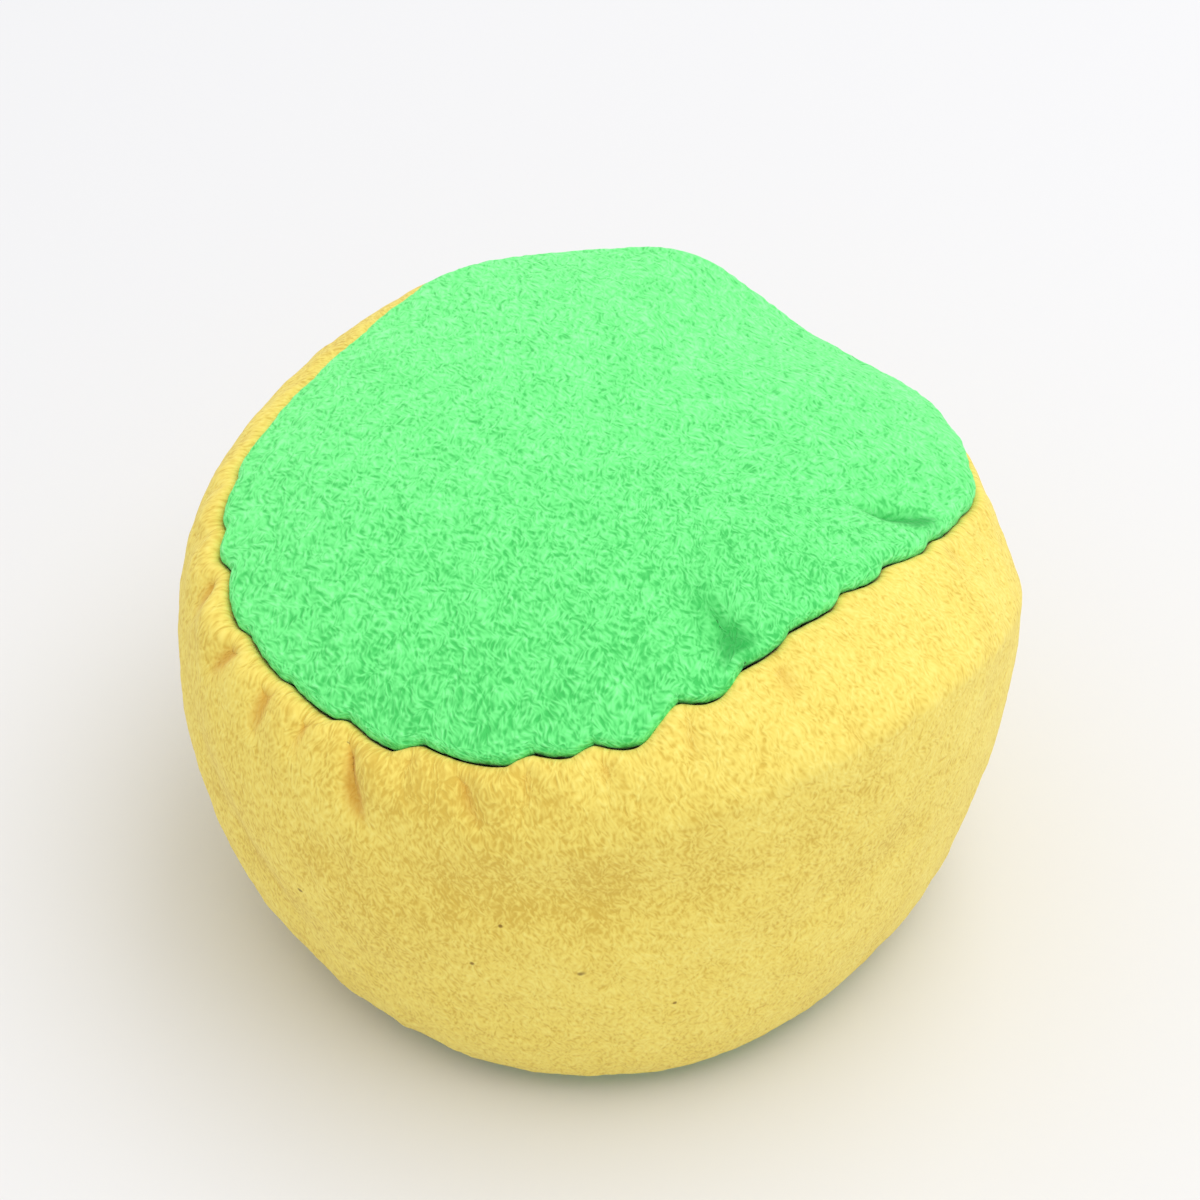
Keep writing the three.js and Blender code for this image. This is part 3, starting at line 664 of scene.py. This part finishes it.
def makeBottomPanel(p):
    angle, share = discGrid(p["count"])
    angle, share = angle.T, share.T  # seen from below, so that its faces point down
    mid = bottomSurface(angle, share, p["stops"])
    flat = np.stack([np.cos(angle), np.sin(angle)], -1) * (share * p["flatRadius"])[..., None]
    x, y = np.moveaxis(flat + p["noiseFrom"], -1, 0)
    nap = p["nap"] * (lattice(x, y, p["napCell"], p["seed"]) - 1)  # never below the floor
    inside = np.clip((share - p["stops"][0]) / (1 - p["stops"][0]), 0, 1)
    # an even painted shade over the whole bottom panel
    fields = dict(hidden=inside, paintedShade=p["paintedShade"] + 0 * share)
    return clothPiece("bottomPanelCloth", mid, nap, flat, fields)


sewing = dict(
    diameter=0.5, sides=6, standOff=1.3, topCount=30, hemCount=26, closeCount=6, closeFrom=7, closeTo=23,
    steps=10, squareness=1.8, rowsOff=8, rough=0.7, colour=(230, 220, 150),
)


def tube(name, path, radius, sides, closed):
    # rings of points square to the path, joined, with a face over each open end
    ahead = np.roll(path, -1, 0) - np.roll(path, 1, 0)
    if not closed:
        ahead[0], ahead[-1] = path[1] - path[0], path[-1] - path[-2]
    ahead = ahead / np.linalg.norm(ahead, axis=1, keepdims=True)
    slant = np.array([0.0, 0.31, 0.95])  # the threads hardly ever run this way
    first = np.cross(ahead, slant)
    first = first / np.linalg.norm(first, axis=1, keepdims=True)
    second = np.cross(ahead, first)
    turn = np.arange(sides) * fullTurn / sides
    ring = first[:, None] * np.cos(turn)[None, :, None] + second[:, None] * np.sin(turn)[None, :, None]
    points = (path[:, None] + radius * ring).reshape(-1, 3)
    at = np.arange(len(points)).reshape(len(path), sides)
    last = at if closed else at[:-1]
    following = np.roll(at, -1, 0)[:len(last)]
    quads = np.stack([last, np.roll(last, -1, 1), np.roll(following, -1, 1), following], -1).reshape(-1, 4)
    caps = [] if closed else [at[:1, ::-1], at[-1:]]
    return meshPiece(name, points, [quads, *caps])


def runningStitch(count, t):
    # sideways place of the thread: it lies along one layer, passes through both and lies along the other
    share = np.arange(count * t["steps"]) / t["steps"]
    return share, np.clip(t["squareness"] * np.sin(math.pi * share), -1, 1)


def makeThreads(t):
    made = []
    for name, seam, count in (("topThread", topSeam, t["topCount"]), ("hemThread", hemSeam, t["hemCount"])):
        share, side = runningStitch(count, t)
        angle = rightAngle + share * fullTurn / count
        r, z = seamPoint(seam(angle), bag["stitchDepth"], side * t["standOff"])
        made.append(tube(name, around(angle, r, z), t["diameter"] / 2, t["sides"], True))
    share, side = runningStitch(t["closeCount"], t)
    z = t["closeFrom"] + share / t["closeCount"] * (t["closeTo"] - t["closeFrom"])
    wall = bandSurface(np.array([rightAngle]), band["rows"])[0]
    wall = wall[band["rows"]["hem"] + t["rowsOff"]:-band["rows"]["top"] - t["rowsOff"]]
    y = np.interp(z, wall[:, 2], wall[:, 1]) - bag["fabric"] / 2 - bag["stitchDepth"]
    path = np.stack([side * t["standOff"], y, z], -1)
    made.append(tube("closingThread", path, t["diameter"] / 2, t["sides"], False))
    return made


filling = dict(
    pitch=4.75, jitter=0.12, clear=3.0, roofClear=3.4, seamClear=6.5, belowSeam=7, aboveHem=6, facets=8,
    rings=4, seed=21, across=8, layers=9, rowStep=0.866, layerShift=0.289, layerStep=0.816, rough=0.35,
    colour=(238, 240, 236),
    shapes=[(4.2, 4.2, 2), (4.6, 3.7, 2), (4.4, 3.8, 4)],  # length, diameter and squareness
)


def pelletShape(length, diameter, squareness, facets, rings):
    # a profile round an axis: an ellipse at squareness 2, a barrel above it
    turn = np.linspace(0, math.pi, rings + 2)[1:-1]
    r, z = np.sin(turn) ** (2 / squareness), np.sign(np.cos(turn)) * np.abs(np.cos(turn)) ** (2 / squareness)
    angle = np.arange(facets) * fullTurn / facets
    belt = np.stack([np.outer(r, np.cos(angle)), np.outer(r, np.sin(angle)), z[:, None] + 0 * angle], -1)
    points = np.concatenate([belt.reshape(-1, 3), [[0, 0, 1], [0, 0, -1]]])
    points = points * (diameter / 2, diameter / 2, length / 2)
    at = np.arange(rings * facets).reshape(rings, facets)
    beside = np.roll(at, -1, 1)
    quads = np.stack([at[:-1], at[1:], beside[1:], beside[:-1]], -1).reshape(-1, 4)
    top, bottom = np.full(facets, rings * facets), np.full(facets, rings * facets + 1)
    tips = np.stack([top, at[0], beside[0]], -1), np.stack([bottom, beside[-1], at[-1]], -1)
    return points, quads, np.concatenate(tips)


def makePellets(f):
    # close packing on a lattice, kept clear of the cloth and of the turned-in layers
    rng = np.random.default_rng(f["seed"])
    line = np.arange(-f["across"], f["across"] + 1)
    i, j, k = (grid.ravel() for grid in np.meshgrid(line, line, np.arange(f["layers"]), indexing="ij"))
    x, y, z = i + 0.5 * j + 0.5 * k, f["rowStep"] * j + f["layerShift"] * k, f["layerStep"] * k
    spots = np.stack([x, y, z], -1) * f["pitch"] + (0, 0, f["clear"])
    spots = spots + rng.uniform(-1, 1, spots.shape) * f["jitter"]
    angle, r = np.arctan2(spots[:, 1], spots[:, 0]), np.hypot(spots[:, 0], spots[:, 1])
    wall = bandSurface(angle, band["rows"])[:, band["rows"]["hem"]:-band["rows"]["top"]]
    near = np.argmin(np.abs(wall[..., 2] - spots[:, 2:]), 1)
    wallR = np.hypot(wall[..., 0], wall[..., 1])[np.arange(len(spots)), near]
    seamR, seamZ = topSeam(angle, strays=False)[:2]
    reach = np.clip(r / seamR, 0, 1)
    roof = waved("topHeight", angle, reach) + bag["crown"] * (1 - reach**2)
    height = spots[:, 2]
    keep = (r < wallR - f["clear"]) & (height < roof - f["roofClear"])
    between = (height < seamZ - f["belowSeam"]) & (height > bag["hemHeight"] + f["aboveHem"])
    spots = spots[keep & ((r < seamR - f["seamClear"]) | between)]
    points, quads, fans, first = [], [], [], 0
    for n, spot in enumerate(spots):
        shape, sides, tips = pelletShape(*f["shapes"][n % len(f["shapes"])], f["facets"], f["rings"])
        turn, _ = np.linalg.qr(rng.normal(size=(3, 3)))
        turn[:, 0] = turn[:, 0] * np.sign(np.linalg.det(turn))
        points.append(shape @ turn.T + spot)
        quads.append(sides + first)
        fans.append(tips + first)
        first += len(shape)
    print("pellets:", len(spots))
    return meshPiece("pellets", np.concatenate(points), [np.concatenate(quads), np.concatenate(fans)])


class Wire:
    # one socket of a shader; sums and products of wires add Math nodes
    def __init__(self, tree, socket=None):
        self.tree, self.socket = tree, socket

    def node(self, kind, settings, output=0, **sockets):
        # settings come first because they change which sockets there are; i0, i1 name sockets by number
        made = self.tree.nodes.new(kind)
        for name, value in settings.items():
            setattr(made, name, value)
        for name, value in sockets.items():
            numbered = name[0] == "i" and name[1:].isdigit()
            socket = made.inputs[int(name[1:])] if numbered else made.inputs[name.replace("_", " ")]
            if isinstance(value, Wire):
                self.tree.links.new(value.socket, socket)
            else:
                socket.default_value = value
        return Wire(self.tree, made.outputs[output])

    def math(self, operation, *values):
        sockets = {f"i{k}": value for k, value in enumerate(values)}
        return self.node("ShaderNodeMath", dict(operation=operation), **sockets)

    def vector(self, operation, output=0, **sockets):
        return self.node("ShaderNodeVectorMath", dict(operation=operation), output, **sockets)

    def attribute(self, name):
        return self.node("ShaderNodeAttribute", dict(attribute_name=name), output=2)

    def __add__(self, other):
        return self.math("ADD", self, other)

    def __sub__(self, other):
        return self.math("SUBTRACT", self, other)

    def __rsub__(self, other):
        return self.math("SUBTRACT", other, self)

    def __mul__(self, other):
        return self.math("MULTIPLY", self, other)

    def band(self, low, high):
        # 0 below low and 1 above high, eased
        eased = dict(interpolation_type="SMOOTHSTEP")
        return self.node("ShaderNodeMapRange", eased, Value=self, From_Min=low, From_Max=high)


def newMaterial(name, **constants):
    material = bpy.data.materials.new(name)
    material.use_nodes = True
    tree = material.node_tree
    tree.nodes.clear()
    shader = tree.nodes.new("ShaderNodeBsdfPrincipled")
    out = tree.nodes.new("ShaderNodeOutputMaterial")
    tree.links.new(shader.outputs[0], out.inputs[0])
    for socket, value in constants.items():
        shader.inputs[socket.replace("_", " ")].default_value = value
    return material, Wire(tree), shader


def feed(shader, **wires):
    for socket, wire in wires.items():
        wire.tree.links.new(wire.socket, shader.inputs[socket.replace("_", " ")])


def mixColour(wire, share, first, second):
    return wire.node("ShaderNodeMix", dict(data_type="RGBA"), output=2, i0=share, i6=first, i7=second)


def linear(red, green, blue):
    # screen colour from 0 to 255 to the shader's linear one
    values = [c / 255 for c in (red, green, blue)]
    return (*[c / 12.92 if c <= 0.04045 else ((c + 0.055) / 1.055) ** 2.4 for c in values], 1)


def soft(w, place, scale, detail=1.0, output=0):
    # plain noise; scale is its cells in a mm
    flat = dict(noise_dimensions="2D")
    return w.node("ShaderNodeTexNoise", flat, output, Vector=place, Scale=scale, Detail=detail)


# The nap is short strokes of fibre: first what both colours share
fibre = dict(
    apart=(7.3, 3.1), strokeDetail=0.5, patchBand=(0.44, 0.56), driftDetail=2.0, darkBand=(0.16, 0.52),
    lightBand=(0.44, 0.76), looseScale=0.4, looseBand=(0.42, 0.6), loose=0.6, bump=0.6, speckCore=0.4,
    speck=0.8, rough=0.95, sheenRough=0.5, specular=0.1,
)


def swept(w, place, sweep, scale):
    # the cloth's place pushed about by slow noise, so that straight strokes laid on it bend
    push = w.vector("SUBTRACT", i0=soft(w, place, scale, output=1), i1=(0.5, 0.5, 0.5))
    push = w.vector("SCALE", i0=push, Scale=sweep)
    return w.vector("ADD", i0=place, i1=push)


def laid(w, place, turn, wide, long, shift):
    # the place turned, drawn out and moved to a part of the noise that no other stroke is taken from
    moved = (shift * fibre["apart"][0], shift * fibre["apart"][1], 0)
    return w.node(
        "ShaderNodeMapping", dict(vector_type="TEXTURE"), Vector=place, Location=moved,
        Rotation=(0, 0, math.radians(turn)), Scale=(wide, long, 1),
    )


def strokes(w, place, turn, wide, long, shift):
    return soft(w, laid(w, place, turn, wide, long, shift), 1.0, fibre["strokeDetail"])


def tufts(w, place, turns, wide, long, patch):
    # strokes of several directions, each showing through in patches of its own
    total = strokes(w, place, turns[0], wide, long, 1)
    for k, turn in enumerate(turns[1:]):
        show = soft(w, laid(w, place, 0, 1, 1, k + 5), patch, 0.0).band(*fibre["patchBand"])
        total = total + (strokes(w, place, turn, wide, long, k + 2) - total) * show
    return total


# Besides the fibre colours: a colour of painted shade for the valleys, one of painted shade for the seam
# line, and a share of painted shade over broad parts
greenNap = dict(
    light=(148, 255, 166), mid=(120, 246, 140), dark=(72, 202, 98), creaseShade=(40, 170, 72), seamShade=(24, 70, 24),
    creaseShadeBand=(0, 1), creaseShadeShare=0.85, seamShadeBand=(0.25, 0.6), sheen=0.12, sweep=0.45, sweepScale=0.8,
    fine=dict(turns=(-25, 5, 35), wide=0.19, long=0.6, patch=0.9),
    coarse=dict(turns=(-10, 20, 60), wide=0.3, long=0.95, patch=0.7),
    mix=0.5, patch=0.35, drift=0.2, paintedShadeShare=0.14, bump=0.3, specks=[],
)
yellowNap = dict(
    light=(248, 230, 124), mid=(241, 218, 108), dark=(219, 187, 81), creaseShade=(206, 146, 52), seamShade=(96, 66, 16),
    creaseShadeBand=(0.05, 0.5), creaseShadeShare=0.6, seamShadeBand=(0.05, 0.5), sheen=0.1, sweep=0.5, sweepScale=0.8,
    fine=dict(turns=(-20, 10, 30), wide=0.18, long=0.36, patch=0.9),
    coarse=dict(turns=(-15, 20), wide=0.32, long=0.65, patch=0.7),
    mix=0.55, patch=0.3, drift=0.3, paintedShadeShare=0.14, bump=0.18, speck=(126, 88, 30),
    specks=[  # places on the flat strip and radius
        (77, 19.5, 0.3), (84, 20, 0.36), (79, 23.5, 0.26), (64, 20.5, 0.26), (90, 16, 0.22), (70, 34, 0.28),
    ],
)


def makeNap(name, g):
    # height of the fibres gives the tone and the bump; the colour also carries painted shade: in the valleys
    # of folds and puckers, along the seam line where the cloth turns in, and over broad parts of each piece
    material, w, shader = newMaterial(
        name, Roughness=fibre["rough"], Sheen_Weight=g["sheen"], Sheen_Roughness=fibre["sheenRough"],
        Specular_IOR_Level=fibre["specular"],
    )
    place = w.node("ShaderNodeUVMap", dict(uv_map="cloth"))
    bent = swept(w, place, g["sweep"], g["sweepScale"])
    height = tufts(w, bent, **g["fine"]) * g["mix"] + tufts(w, bent, **g["coarse"]) * (1 - g["mix"])
    ground = (soft(w, place, g["patch"], fibre["driftDetail"]) - 0.5) * g["drift"]
    # painted shade: the attribute darkens the tone over broad parts of each piece
    tone = height + ground - w.attribute("paintedShade") * g["paintedShadeShare"]
    colour = mixColour(w, tone.band(*fibre["darkBand"]), linear(*g["dark"]), linear(*g["mid"]))
    colour = mixColour(w, tone.band(*fibre["lightBand"]), colour, linear(*g["light"]))
    # painted shade: the valleys of folds and puckers take a darker colour
    creaseShadeMask = w.attribute("creaseShade").band(*g["creaseShadeBand"]) * g["creaseShadeShare"]
    colour = mixColour(w, creaseShadeMask, colour, linear(*g["creaseShade"]))
    # painted shade along the seam line where the cloth turns in, broken into patches by noise
    loose = soft(w, place, fibre["looseScale"]).band(*fibre["looseBand"]) * fibre["loose"]
    seamShadeMask = w.attribute("hidden").band(*g["seamShadeBand"]) * (1 - loose)
    colour = mixColour(w, seamShadeMask, colour, linear(*g["seamShade"]))
    for across, up, size in g["specks"]:
        away = w.vector("DISTANCE", output=1, i0=bent, i1=(across, up, 0))
        spot = (1 - away.band(size * fibre["speckCore"], size)) * fibre["speck"]
        colour = mixColour(w, spot, colour, linear(*g["speck"]))
    bump = w.node("ShaderNodeBump", {}, Strength=fibre["bump"], Distance=g["bump"] * mm, Height=height)
    feed(shader, Base_Color=colour, Normal=bump)
    return material


def plain(name, rough, colour):
    return newMaterial(name, Roughness=rough, Base_Color=linear(*colour))[0]


topCloth, bandCloth, bottomCloth = makeTopPanel(topPanel), makeBand(band), makeBottomPanel(bottomPanel)
topThread, hemThread, closingThread = makeThreads(sewing)
pellets = makePellets(filling)
green, yellow = makeNap("greenNap", greenNap), makeNap("yellowNap", yellowNap)
thread = plain("sewingThread", sewing["rough"], sewing["colour"])
plastic = plain("pelletPlastic", filling["rough"], filling["colour"])
print("finishes:", green.name, yellow.name, thread.name, plastic.name)
pelletNodes = [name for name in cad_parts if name.startswith("pellet")]
for piece, material, slot, nodes in (
    (topCloth, green, "green_nap", ["top_panel"]),
    (bandCloth, yellow, "yellow_nap", ["side_band"]),
    (bottomCloth, green, "green_nap", ["bottom_panel"]),
    (topThread, thread, "sewing_thread", ["top_seam_thread"]),
    (hemThread, thread, "sewing_thread", ["bottom_seam_thread"]),
    (closingThread, thread, "sewing_thread", ["side_seam_thread"]),
    (pellets, plastic, "pellet_plastic", pelletNodes),
):
    piece.data.materials.append(material)
    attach(piece, "root")
    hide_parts(*nodes)


stage = dict(
    size=2, colour=(230, 230, 232), lampPower=7.8, lampPlace=(0.55, -0.12, 1.05), lampSize=1.2, world=0.88,
)  # in metres


def makeStage(s):
    half = s["size"] / 2
    mesh = bpy.data.meshes.new("floor")
    corners = [(-half, -half, 0), (half, -half, 0), (half, half, 0), (-half, half, 0)]
    mesh.from_pydata(corners, [], [(0, 1, 2, 3)])
    floor = bpy.data.objects.new("floor", mesh)
    scene.collection.objects.link(floor)
    colour = linear(*s["colour"])
    mesh.materials.append(newMaterial("paleFloor", Roughness=1, Specular_IOR_Level=0, Base_Color=colour)[0])
    lamp = bpy.data.lights.new("softBox", "AREA")
    lamp.size, lamp.energy = s["lampSize"], s["lampPower"]
    box = bpy.data.objects.new("softBox", lamp)
    x, y, z = s["lampPlace"]
    box.location = s["lampPlace"]
    # leans away from the bag, which gets about half of its strength
    box.rotation_euler = (math.atan2(y, z), -math.atan2(x, z), 0)
    scene.collection.objects.link(box)
    world = bpy.data.worlds.new("studio")
    world.use_nodes = True
    world.node_tree.nodes["Background"].inputs[0].default_value = (1, 1, 1, 1)
    world.node_tree.nodes["Background"].inputs[1].default_value = s["world"]
    scene.world = world


makeStage(stage)
scene.view_settings.view_transform = "Standard"
